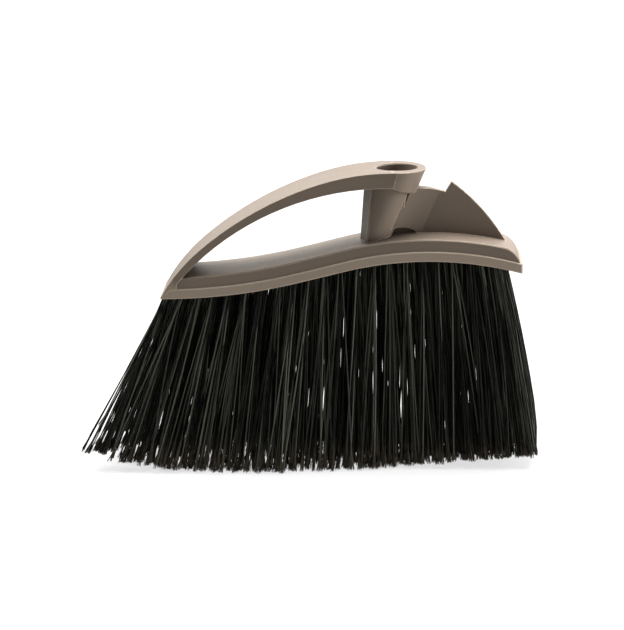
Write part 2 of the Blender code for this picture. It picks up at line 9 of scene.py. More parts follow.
import bmesh
import bpy
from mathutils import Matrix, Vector


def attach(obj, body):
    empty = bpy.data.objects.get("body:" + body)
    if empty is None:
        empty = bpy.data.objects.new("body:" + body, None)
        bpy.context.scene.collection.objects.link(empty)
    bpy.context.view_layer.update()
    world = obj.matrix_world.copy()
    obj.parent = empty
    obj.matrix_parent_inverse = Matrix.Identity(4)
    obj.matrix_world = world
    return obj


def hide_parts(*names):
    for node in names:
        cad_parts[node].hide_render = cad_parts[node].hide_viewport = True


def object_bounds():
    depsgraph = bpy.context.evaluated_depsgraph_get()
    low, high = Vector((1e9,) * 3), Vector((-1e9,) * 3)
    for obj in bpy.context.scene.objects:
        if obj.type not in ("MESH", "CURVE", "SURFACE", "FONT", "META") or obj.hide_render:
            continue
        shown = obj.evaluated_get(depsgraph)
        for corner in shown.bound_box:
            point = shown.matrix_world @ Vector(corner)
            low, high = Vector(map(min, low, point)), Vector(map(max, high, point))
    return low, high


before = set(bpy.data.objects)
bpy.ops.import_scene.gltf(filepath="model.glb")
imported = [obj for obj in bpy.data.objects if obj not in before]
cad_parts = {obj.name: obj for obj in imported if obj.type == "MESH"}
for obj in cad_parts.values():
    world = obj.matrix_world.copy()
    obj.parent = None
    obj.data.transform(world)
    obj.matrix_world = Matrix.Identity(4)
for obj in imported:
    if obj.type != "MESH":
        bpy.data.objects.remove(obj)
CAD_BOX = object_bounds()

bl_info = {
    "name": "Angle Broom Head",
    "version": (1, 0, 0),
    "blender": (4, 5, 0),
    "location": "View3D > Sidebar > Broom",
    "description": "Dresses the packed angle broom head and sets its studio",
    "category": "Add Mesh",
}

MM = 0.001
WHITE = (1.0, 1.0, 1.0)

# The curve of the block's underside, as the part has it: a crest, a slope and a haunch
CREST_X = 72.0 * MM
CREST_HEIGHT = 127.4 * MM
CREST_RADIUS = 208.0 * MM
HAUNCH_RADIUS = 335.0 * MM
SLOPE_RUN = 26.0 * MM
SLOPE_ANGLE = math.radians(14.6)

# Where the tufts leave the block: the last columns on the right stand closer, and crowd at the end
FIRST_TUFT_X = -82.0 * MM
TUFT_PITCH = 9.467 * MM
END_TUFT_PITCH = 6.977 * MM
MAIN_TUFTS = 20
END_TUFTS = 3
ROWS = 5
ROW_PITCH = 7.2 * MM
ROW_PHASES = (-0.4, 0.0, 0.4, -0.2, 0.2)
CROWD_FROM_X = 98.0 * MM
CROWD_SHARE = 0.72

# How the tufts fan out: upright near the middle, swept to the left end, flared to both sides
UPRIGHT_X = 39.0 * MM
FAN_REACH = 123.2 * MM
LEFT_SWEEP = 18.2 * MM
SWEEP_POWER = 9
LEFT_TRIM_SHARE = 0.09
LEAN_SHARE = 0.205
TIP_LIFT_X = 45.0 * MM
TIP_LIFT_REACH = 92.0 * MM
TIP_LIFT = 7.6 * MM
FLARE_FROM_X = -30.0 * MM
FLARE_TO_X = 70.0 * MM
WIDE_FLARE_SHARE = 1.28
NARROW_FLARE_SHARE = 0.32
BOW_SHARE = 0.10
GUIDE_STEPS = 8

# Fuller tufts in the swept columns and in the two outer rows
FAN_FILL_SHARE = 0.5
FAN_FILL_POWER = 4
OUTER_ROW_SHARE = 1.35
END_CROSSING_SHARE = 0.3

# One filament: a stem that thins a little, and fibres that fray out of its end
STEM_SIDES = 5
STEM_END_SHARE = 0.982
STEM_TAPER_SHARE = 0.2
STEM_TAPER_POWER = 8
STRAY_POWER = 1.4
SWAY_SHARE = 0.6
CROSSING_POWER = 3
UNEVEN_TIP = 0.5 * MM
FIBRE_SIDES = 3
FIBRE_FROM_SHARE = 0.925
FIBRE_POINTS = 4
FIBRE_TAPER_SHARE = 0.3
FIBRE_RISE = 0.6 * MM
FIBRE_DROP_SHARE = 0.2
FRAY_START_SHARE = 0.6
FRAY_SPREAD_SHARE = 2.6
FRAY_POWER = 1.3
SEED_STRIDE = 17

# How the moulding's copy is joined and shaded
WELD_DISTANCE = 0.002 * MM
FLAT_ANGLE = math.radians(0.5)
SHARP_ANGLE = math.radians(28)
FIN_SHARP_ANGLE = math.radians(5)
FIN_SIDE_Y = 2.0 * MM
FIN_SIDE_AREA = 200.0 * MM**2
RIM_SIDE = 18.8 * MM
RIM_TOP = 6.0 * MM

# The plastic bed that closes the underside
BED_DEPTH = 2.1 * MM
BED_HALF_WIDTH = 17.75 * MM
BED_LEFT_X = -86.7 * MM
BED_RIGHT_X = 122.9 * MM
BED_STEPS = 60

# Satin plastic. A noise is its scale, detail and roughness, a band is where a mask starts and ends,
# and a tone is a share of the plastic's or the rim's colour
NOISE_MIDDLE = 0.5
DRIFT_NOISE = (28.0, 3.0)
DRIFT_BAND = (0.35, 0.65)
DRIFT_TONES = (0.96, 1.04)
MOTTLE_NOISE = (420.0, 2.0)
MOTTLE_BAND = (0.3, 0.7)
MOTTLE_SHARE = 0.25
MOTTLE_TONE = 0.9
# Painted shade: corners and creases are darkened where ambient occlusion finds them hemmed in
CREASE_SHADE_BAND = (0.35, 0.85)
CREASE_SHADE_SHARE = 0.7
CREASE_SHADE_TONE = 0.4
# Painted highlight: sharp edges are lightened towards a bright share of the rim colour
EDGE_HIGHLIGHT_BAND = (0.02, 0.05)
EDGE_HIGHLIGHT_SHARE = 0.8
EDGE_HIGHLIGHT_TONE = 2.7
EDGE_POLISH = 0.06
SCUFF_STRETCH = (1.0, 1.0, 6.0)
SCUFF_NOISE = (160.0, 4.0, 0.65)
SCUFF_DEPTH = 0.16
GRAIN_NOISE = (2600.0, 2.0, 0.6)
GRAIN_STRENGTH = 0.6
SHADE_SAMPLES = 6
PLASTIC_TINT = (1.0, 0.9, 0.78, 1.0)
PLASTIC_GLOSS = 0.25

# Black filament: some strands painted bright as if lit and the rest near black as if shaded, painted
# highlight streaks along their length, and browner towards the floor
STREAK_STRETCH = (1.0, 1.0, 0.02)
STREAK_NOISE = (900.0, 2.0)
STREAK_HIGHLIGHT_BAND = (0.4, 0.65)
# Painted light: bright strands stand in for lit ones and near black strands for shaded ones
LIT_BAND = (0.52, 0.85)
LIT_SHARES = (0.9, 0.1)
SHADED_AND_LIT_TONES = (0.04, 2.8)
TIP_BAND = (4.0 * MM, 22.0 * MM)
PATCH_NOISE = (240.0, 3.0)
PATCH_BAND = (0.3, 0.6)
TIP_SHARE = 0.85
DARK_ROUGHNESS = 0.72
LIT_POLISH = 0.34
TIP_ROUGHNESS = 0.2
STREAK_ROUGHNESS = 0.2
RIDGE_STRETCH = (1.0, 1.0, 0.04)
RIDGE_NOISE = (2400.0, 1.0)
RIDGE_DEPTH = 0.06 * MM
RIDGE_STRENGTH = 0.35
FILAMENT_GLOSS = 0.08

# The studio's table and the pale wall round it
STUDIO_REACH = 6.0
WALL_SHARE = 0.98
WALL_SEGMENTS = 64
WALL_GLOW = 1.0
PAPER_NOISE = (60.0, 3.0)
PAPER_TONE = 0.99
PAPER_ROUGHNESS = 0.9
AIR_STRENGTH = 0.04
SKY_POWER = 11.1
SKY_ANGLE = math.radians(56)
SKY_LOOK = (-0.06, -0.24, -1.0)
SENSOR_WIDTH = 36.0


class Lamp(NamedTuple):
    """A rectangular light at a place, turned to a point that it aims at."""

    name: str
    place: tuple
    aim: tuple
    width: float
    height: float
    power: float
    colour: tuple = WHITE


LAMPS = (
    Lamp("right_softbox", (1.3, -0.08, 0.35), (0.05, 0.0, 0.12), 0.4, 0.8, 29.0),
    Lamp("left_softbox", (-1.3, -0.12, 0.35), (0.0, 0.0, 0.12), 0.4, 0.8, 4.5),
    Lamp("back_wall", (0.0, 3.2, 1.1), (0.0, 0.0, 0.3), 4.4, 1.8, 90.0, (1.0, 0.95, 0.89)),
)


def underside(x):
    """Height of the block's lower face."""
    slope_top_x = CREST_X - CREST_RADIUS * math.sin(SLOPE_ANGLE)
    slope_foot_x = slope_top_x - SLOPE_RUN
    if x >= slope_top_x:
        return CREST_HEIGHT - CREST_RADIUS + math.sqrt(CREST_RADIUS**2 - (x - CREST_X) ** 2)
    slope_top = CREST_HEIGHT - CREST_RADIUS * (1 - math.cos(SLOPE_ANGLE))
    if x >= slope_foot_x:
        return slope_top - (slope_top_x - x) * math.tan(SLOPE_ANGLE)
    slope_foot = slope_top - SLOPE_RUN * math.tan(SLOPE_ANGLE)
    sine = math.sin(SLOPE_ANGLE) - (slope_foot_x - x) / HAUNCH_RADIUS
    return slope_foot - HAUNCH_RADIUS * (math.sqrt(1 - sine**2) - math.cos(SLOPE_ANGLE))


def tuft_columns():
    """Where the middle of each column of tufts stands, from left to right."""
    columns = [FIRST_TUFT_X + TUFT_PITCH * i for i in range(MAIN_TUFTS)]
    return columns + [columns[-1] + END_TUFT_PITCH * (i + 1) for i in range(END_TUFTS)]


def left_share(x):
    """0 at the upright tufts, about 1 at the left end."""
    return max(0, (UPRIGHT_X - x) / FAN_REACH)


def tip_x_of(x):
    """Where the tips of a tuft end that leaves the block at x."""
    return x + LEAN_SHARE * (x - UPRIGHT_X) - LEFT_SWEEP * left_share(x) ** SWEEP_POWER


def flare_of(x):
    """How many times wider a column is at its tips than where it leaves the block."""
    share = min(1, max(0, (x - FLARE_FROM_X) / (FLARE_TO_X - FLARE_FROM_X)))
    ease = share * share * (3 - 2 * share)
    return 1 + WIDE_FLARE_SHARE + (NARROW_FLARE_SHARE - WIDE_FLARE_SHARE) * ease


# Node trees: sums on a socket add Math nodes, every other node comes from Graph.add


class Socket:
    """An output of a node tree that plain sums can be written with."""

    def __init__(self, graph, output):
        self.graph, self.output = graph, output

    def of(self, name):
        """Another output of the same node."""
        return Socket(self.graph, self.graph.pick(self.output.node.outputs, name))

    def math(self, operation, *others):
        """A Math node on this output and others."""
        return self.graph.add("ShaderNodeMath", {"operation": operation}, {
            i: value for i, value in enumerate((self, *others))
        })

    def __add__(self, other):
        return self.math("ADD", other)

    __radd__ = __add__

    def __mul__(self, other):
        return self.math("MULTIPLY", other)

    __rmul__ = __mul__

    def __sub__(self, other):
        return self.math("SUBTRACT", other)

    def __rsub__(self, other):
        return self * -1 + other

    def __pow__(self, other):
        return self.math("POWER", other)

    def smooth(self, low, high):
        """0 below low, 1 above high, eased between."""
        return self.graph.add(
            "ShaderNodeMapRange",
            {"interpolation_type": "SMOOTHSTEP"},
            {"Value": self, "From Min": low, "From Max": high, "To Min": 0.0, "To Max": 1.0},
        )


class Graph:
    """Adds nodes to one shader or geometry tree."""

    def __init__(self, tree):
        self.tree = tree

    def pick(self, sockets, name):
        """The socket of a name or number, and of like names the one that is in use."""
        if isinstance(name, int):
            return sockets[name]
        named = [s for s in sockets if s.name == name]
        return next((s for s in named if s.enabled), named[0])

    def add(self, kind, settings=None, sockets=None):
        """A node of a kind: its settings go in first, then the values or links of its sockets."""
        node = self.tree.nodes.new(kind)
        for name, value in (settings or {}).items():
            setattr(node, name, value)
        for name, value in (sockets or {}).items():
            place = self.pick(node.inputs, name)
            if isinstance(value, (list, tuple)) and value and isinstance(value[0], Socket):
                for one in value:
                    self.tree.links.new(one.output, place)
            elif isinstance(value, Socket):
                self.tree.links.new(value.output, place)
            else:
                place.default_value = value
        out = next((s for s in node.outputs if s.enabled), None)
        return Socket(self, out) if out else node

    def vector(self, operation, *values):
        """A Vector Math node on vectors or colours."""
        return self.add("ShaderNodeVectorMath", {"operation": operation}, dict(enumerate(values)))

    def combine(self, x, y, z):
        """A vector out of three numbers."""
        return self.add("ShaderNodeCombineXYZ", None, {"X": x, "Y": y, "Z": z})

    def blend(self, share, first, second):
        """One colour turning into another as the share goes from 0 to 1."""
        def rgba(colour):
            return colour if isinstance(colour, Socket) else (*colour, 1.0)

        return self.add("ShaderNodeMix", {"data_type": "RGBA"}, {
            "Factor": share, "A": rgba(first), "B": rgba(second),
        })

    def noise(self, place, scale, detail=2.0, rough=0.5):
        """Soft noise between 0 and 1."""
        return self.add("ShaderNodeTexNoise", None, {
            "Vector": place, "Scale": scale, "Detail": detail, "Roughness": rough,
        })


def new_material(name):
    """A material with a Principled shader: its graph, the shader and the Object coordinates."""
    material = bpy.data.materials.new(name)
    material.use_nodes = True
    graph = Graph(material.node_tree)
    shader = material.node_tree.nodes["Principled BSDF"]
    place = graph.add("ShaderNodeTexCoord").of("Object")
    return material, graph, shader, place


def shade(colour, tone):
    """A colour made darker or lighter."""
    return tuple(Vector(colour) * tone)


def feed(graph, shader, **values):
    """Sets or links a shader's inputs, named with underscores for spaces."""
    for name, value in values.items():
        socket = shader.inputs[name.replace("_", " ")]
        if isinstance(value, Socket):
            graph.tree.links.new(value.output, socket)
        else:
            socket.default_value = value


class MouldingSettings(bpy.types.PropertyGroup):
    """Finish of the one-piece plastic moulding."""

    colour: bpy.props.FloatVectorProperty(
        name="Plastic", description="Colour of the warm grey plastic",
        default=(0.117, 0.0915, 0.0705), subtype="COLOR", min=0, max=1,
    )
    roughness: bpy.props.FloatProperty(
        name="Roughness", description="How dull the satin surface is", default=0.54, min=0, max=1,
    )
    grain: bpy.props.FloatProperty(
        name="Grain depth", description="Depth of the fine mould texture",
        default=0.02 * MM, unit="LENGTH", precision=6,
    )
    # Painted light: the lower rim is coloured paler in place of the light its face catches; the
    # painted edge highlight is a share of this colour too
    lit_rim_colour: bpy.props.FloatVectorProperty(
        name="Rim", description="Colour of the paler lower rim",
        default=(0.208, 0.168, 0.130), subtype="COLOR", min=0, max=1,
    )
    edge: bpy.props.FloatProperty(
        name="Edge rounding", description="Radius that the shading gives to sharp edges",
        default=0.5 * MM, unit="LENGTH", precision=5,
    )
    # How far the painted shade of a corner reaches
    crease_shade: bpy.props.FloatProperty(
        name="Crease reach", description="How far the soft shade of a corner reaches",
        default=2.2 * MM, unit="LENGTH", precision=5,
    )


class BristleSettings(bpy.types.PropertyGroup):
    """Sizes and colours of the filaments."""

    filaments: bpy.props.IntProperty(
        name="Filaments per tuft", description="Filaments in each tuft", default=16, min=1,
    )
    fibres: bpy.props.IntProperty(
        name="Split ends", description="Fine fibres at each filament's tip", default=14, min=0,
    )
    radius: bpy.props.FloatProperty(
        name="Filament radius", description="Radius of one filament",
        default=0.41 * MM, unit="LENGTH", precision=5,
    )
    fibre_radius: bpy.props.FloatProperty(
        name="Split end radius", description="Radius of one fibre of a split tip",
        default=0.16 * MM, unit="LENGTH", precision=6,
    )
    tuft_radius: bpy.props.FloatProperty(
        name="Tuft radius", description="Radius of a tuft where it leaves the block",
        default=1.9 * MM, unit="LENGTH", precision=5,
    )
    overlap: bpy.props.FloatProperty(
        name="Tip overlap", description="How far tips reach into the room beside their neighbours",
        default=1.15, min=0,
    )
    stray: bpy.props.FloatProperty(
        name="Stray", description="How far a filament's tip strays from its place",
        default=1.6 * MM, unit="LENGTH", precision=5,
    )
    scallop: bpy.props.FloatProperty(
        name="Scallop", description="How much higher the outer tips of a tuft stand",
        default=0.9 * MM, unit="LENGTH", precision=5,
    )
    inset: bpy.props.FloatVectorProperty(
        name="Inset", description="How far the filaments stay inside the solid part's box",
        default=(3.0 * MM, 0.6 * MM, 0.5 * MM), subtype="XYZ", unit="LENGTH",
    )
    crossing: bpy.props.FloatProperty(
        name="Crossing", description="How far the few wide strands reach across their neighbours",
        default=8.0 * MM, unit="LENGTH", precision=5,
    )
    colour: bpy.props.FloatVectorProperty(
        name="Filament", description="Colour of the black filaments",
        default=(0.024, 0.025, 0.0195), subtype="COLOR", min=0, max=1,
    )
    tip_colour: bpy.props.FloatVectorProperty(
        name="Tips", description="Colour of the split tips",
        default=(0.058, 0.048, 0.036), subtype="COLOR", min=0, max=1,
    )


class StudioSettings(bpy.types.PropertyGroup):
    """Camera and light of the photograph."""

    target: bpy.props.FloatVectorProperty(
        name="Target", description="Point in the middle of the picture",
        default=(0.3 * MM, 0.0, 89.0 * MM), subtype="XYZ", unit="LENGTH",
    )
    distance: bpy.props.FloatProperty(
        name="Distance", description="From the camera to the target", default=1.3, unit="LENGTH",
    )
    pitch: bpy.props.FloatProperty(
        name="Pitch", description="How far the camera looks down",
        default=math.radians(15.3), subtype="ANGLE",
    )
    yaw: bpy.props.FloatProperty(
        name="Yaw", description="How far the camera looks round",
        default=math.radians(-2), subtype="ANGLE",
    )
    lens: bpy.props.FloatProperty(
        name="Lens", description="Focal length in millimetres on a 36 mm sensor", default=123.0,
    )
    floor: bpy.props.FloatVectorProperty(
        name="Floor", description="Colour of the pale floor",
        default=(0.15, 0.15, 0.15), subtype="COLOR", min=0, max=1,
    )
    glow: bpy.props.FloatProperty(
        name="Floor glow", description="Light that the translucent table gives from below",
        default=0.68, min=0,
    )


def moulding_finish(sizes):
    """Satin moulded plastic with a fine grain, slow colour drift, painted shade in its corners, a
    painted highlight along its edges and painted light on its lower rim.
    """
    material, graph, shader, place = new_material("satin_warm_grey")
    drift = graph.noise(place, *DRIFT_NOISE)
    mottle = graph.noise(place, *MOTTLE_NOISE)
    dark, light = (shade(sizes.colour, tone) for tone in DRIFT_TONES)
    tone = graph.blend(drift.smooth(*DRIFT_BAND), dark, light)
    mottle = mottle.smooth(*MOTTLE_BAND) * MOTTLE_SHARE
    tone = graph.blend(mottle, tone, shade(sizes.colour, MOTTLE_TONE))
    # Painted light: the lower rim gets a paler colour for the light its face catches
    lip = graph.add("ShaderNodeAttribute", {"attribute_name": "lip"}).of("Fac")
    tone = graph.blend(lip, tone, tuple(sizes.lit_rim_colour))
    rounded = graph.add("ShaderNodeBevel", {"samples": SHADE_SAMPLES}, {"Radius": sizes.edge})
    flat = graph.add("ShaderNodeNewGeometry").of("Normal")
    turn = graph.vector("DOT_PRODUCT", rounded, flat).of("Value")
    open_air = graph.add("ShaderNodeAmbientOcclusion", {"samples": SHADE_SAMPLES}, {
        "Distance": sizes.crease_shade,
    }).of("AO")
    # Painted shade: the plastic is darkened in corners and creases, where ambient occlusion finds
    # little open air
    crease_shade = 1 - open_air.smooth(*CREASE_SHADE_BAND)
    # Painted highlight: where the rounded shading normal turns, edges are lightened as if they
    # caught the light
    edge = (1 - turn).smooth(*EDGE_HIGHLIGHT_BAND)
    tone = graph.blend(crease_shade * CREASE_SHADE_SHARE, tone, shade(sizes.colour, CREASE_SHADE_TONE))
    tone = graph.blend(edge * EDGE_HIGHLIGHT_SHARE, tone, shade(sizes.lit_rim_colour, EDGE_HIGHLIGHT_TONE))
    scuffs = graph.noise(graph.vector("MULTIPLY", place, SCUFF_STRETCH), *SCUFF_NOISE)
    rough = sizes.roughness + (scuffs - NOISE_MIDDLE) * SCUFF_DEPTH - edge * EDGE_POLISH
    grain = graph.noise(place, *GRAIN_NOISE)
    bump = graph.add("ShaderNodeBump", None, {
        "Strength": GRAIN_STRENGTH, "Distance": sizes.grain, "Height": grain, "Normal": rounded,
    })
    feed(graph, shader, Base_Color=tone, Roughness=rough, Normal=bump)
    feed(graph, shader, Specular_Tint=PLASTIC_TINT, Specular_IOR_Level=PLASTIC_GLOSS)
    return material


def filament_finish(sizes):
    """Black filament with a few strands painted bright as if lit, the rest near black as if shaded,
    painted highlight streaks along them, brown and dull at its split tip.
    """
    material, graph, shader, place = new_material("black_filament")
    z = graph.add("ShaderNodeSeparateXYZ", None, {"Vector": place}).of("Z")
    streak = graph.noise(graph.vector("MULTIPLY", place, STREAK_STRETCH), *STREAK_NOISE)
    own = graph.add("ShaderNodeAttribute", {"attribute_name": "tone"}).of("Fac")
    tip = 1 - z.smooth(*TIP_BAND)
    patch = graph.noise(place, *PATCH_NOISE)
    own_share, streak_share = LIT_SHARES
    # Painted light: each strand is coloured lit or shaded by its own random tone, with painted
    # highlight streaks along it
    lit = own.smooth(*LIT_BAND) * own_share + streak.smooth(*STREAK_HIGHLIGHT_BAND) * streak_share
    dark, bright = (shade(sizes.colour, tone) for tone in SHADED_AND_LIT_TONES)
    tone = graph.blend(lit, dark, bright)
    tone = graph.blend(tip * patch.smooth(*PATCH_BAND) * TIP_SHARE, tone, tuple(sizes.tip_colour))
    rough = DARK_ROUGHNESS - own * LIT_POLISH + tip * TIP_ROUGHNESS
    rough = rough + (streak - NOISE_MIDDLE) * STREAK_ROUGHNESS
    ridge = graph.noise(graph.vector("MULTIPLY", place, RIDGE_STRETCH), *RIDGE_NOISE)
    bump = graph.add("ShaderNodeBump", None, {
        "Strength": RIDGE_STRENGTH, "Distance": RIDGE_DEPTH, "Height": ridge,
    })
    feed(graph, shader, Base_Color=tone, Roughness=rough, Normal=bump)
    feed(graph, shader, Specular_IOR_Level=FILAMENT_GLOSS)
    return material


def floor_finish(colour, glow):
    """Pale matt studio paper that glows, as a table does that is lit from below."""
    material, graph, shader, place = new_material("studio_paper")
    fibre = graph.noise(place, *PAPER_NOISE)
    tone = graph.blend(fibre, shade(colour, PAPER_TONE), tuple(colour))
    feed(graph, shader, Base_Color=tone, Roughness=PAPER_ROUGHNESS)
    feed(graph, shader, Emission_Color=(*WHITE, 1.0), Emission_Strength=glow)
    return material


def new_object(name, data, material=None):
    """An object in the scene that shows some data, a mesh with its one material."""
    made = bpy.data.objects.new(name, data)
    bpy.context.scene.collection.objects.link(made)
    if material:
        data.materials.clear()
        data.materials.append(material)
    return made


def aimed(name, data, place, look):
    """A lamp or camera at a place that looks along a direction."""
    made = new_object(name, data)
    made.location = place
    made.rotation_euler = Vector(look).to_track_quat("-Z", "Y").to_euler()
    return made


def dress(piece, slot, *nodes):
    """Parents a finished piece to the root body, and hides the nodes that it is seen in place of."""
    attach(piece, "root")
    if nodes:
        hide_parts(*nodes)


def is_fin_side(face):
    """The fin's flat sides are the only wide faces so near the middle plane."""
    return abs(face.calc_center_median().y) < FIN_SIDE_Y and face.calc_area() > FIN_SIDE_AREA


def merged_copy(node, name, material):
    """A node's mesh with its triangles joined, its curves smooth and its lower rim marked for
    painted rim light.
    """
    work = bmesh.new()
    work.from_mesh(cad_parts[node].data)
    bmesh.ops.remove_doubles(work, verts=work.verts, dist=WELD_DISTANCE)
    bmesh.ops.dissolve_limit(
        work, angle_limit=FLAT_ANGLE, verts=work.verts, edges=work.edges, delimit=set(),
    )
    for face in work.faces:
        face.smooth = True
    for edge in work.edges:
        beside_fin = sum(is_fin_side(face) for face in edge.link_faces) == 1
        edge.smooth = edge.calc_face_angle(0) < (FIN_SHARP_ANGLE if beside_fin else SHARP_ANGLE)
    mesh = bpy.data.meshes.new(name)
    work.to_mesh(mesh)
    work.free()
    # Marks the lower rim's points, where the painted rim light goes
    lip = mesh.attributes.new("lip", "FLOAT", "POINT")
    for vert, mark in zip(mesh.vertices, lip.data):
        rise = vert.co.z - underside(vert.co.x)
        mark.value = 1.0 if abs(vert.co.y) > RIM_SIDE and rise < RIM_TOP else 0.0
    made = new_object(name, mesh, material)
    weight = made.modifiers.new("even_shading", "WEIGHTED_NORMAL")
    weight.keep_sharp = True
    return made


def loft(name, rings, material):
    """A closed skin over rings that have equal numbers of points."""
    work = bmesh.new()
    rows = [[work.verts.new(point) for point in ring] for ring in rings]
    for low, high in zip(rows, rows[1:]):
        for i in range(len(low)):
            j = (i + 1) % len(low)
            work.faces.new((low[i], low[j], high[j], high[i]))
    work.faces.new(rows[0])
    work.faces.new(rows[-1])
    bmesh.ops.recalc_face_normals(work, faces=work.faces)
    mesh = bpy.data.meshes.new(name)
    work.to_mesh(mesh)
    work.free()
    return new_object(name, mesh, material)


def tuft_guides(column, pitch, sizes, lows, highs):
    """One line for each tuft of a column, with its tips' room and its share of filaments."""
    verts, edges, spreads = [], [], []
    for row in range(ROWS):
        y = (row - (ROWS - 1) / 2) * ROW_PITCH
        start = column + ROW_PHASES[row] * pitch
        root_x = start - max(0, start - CROWD_FROM_X) * (1 - CROWD_SHARE)
        root = Vector((root_x, y, underside(root_x) + BED_DEPTH / 2))
        tip_x = tip_x_of(start)
        lifted = min(1, max(0, (tip_x - TIP_LIFT_X) / TIP_LIFT_REACH))
        tip = Vector((tip_x, y * flare_of(column), TIP_LIFT * lifted))
        tip = tip.lerp(root, LEFT_TRIM_SHARE * left_share(start) ** SWEEP_POWER)
        middle = root.lerp(tip, 1 / 2)
        middle.x += max(0, tip.x - root.x) * BOW_SHARE
        middle.y += (tip.y - root.y) * BOW_SHARE
        room_x = sizes.overlap * (tip_x_of(start + pitch / 2) - tip_x_of(start - pitch / 2)) / 2
        room_y = sizes.overlap * ROW_PITCH * flare_of(column) / 2
        margin = sizes.radius * 2 + sizes.stray / 2
        spread_x = min(room_x, highs.x - margin - tip.x, tip.x - lows.x - margin)
        spread_y = min(room_y, highs.y - margin - abs(tip.y))
        fill = OUTER_ROW_SHARE if row in (0, ROWS - 1) else 1
        first = len(verts)
        for i in range(GUIDE_STEPS + 1):
            t = i / GUIDE_STEPS
            verts.append(root.lerp(middle, t).lerp(middle.lerp(tip, t), t))
            spreads.append((spread_x, spread_y, fill))
        edges += [(first + i, first + i + 1) for i in range(GUIDE_STEPS)]
    return verts, edges, spreads


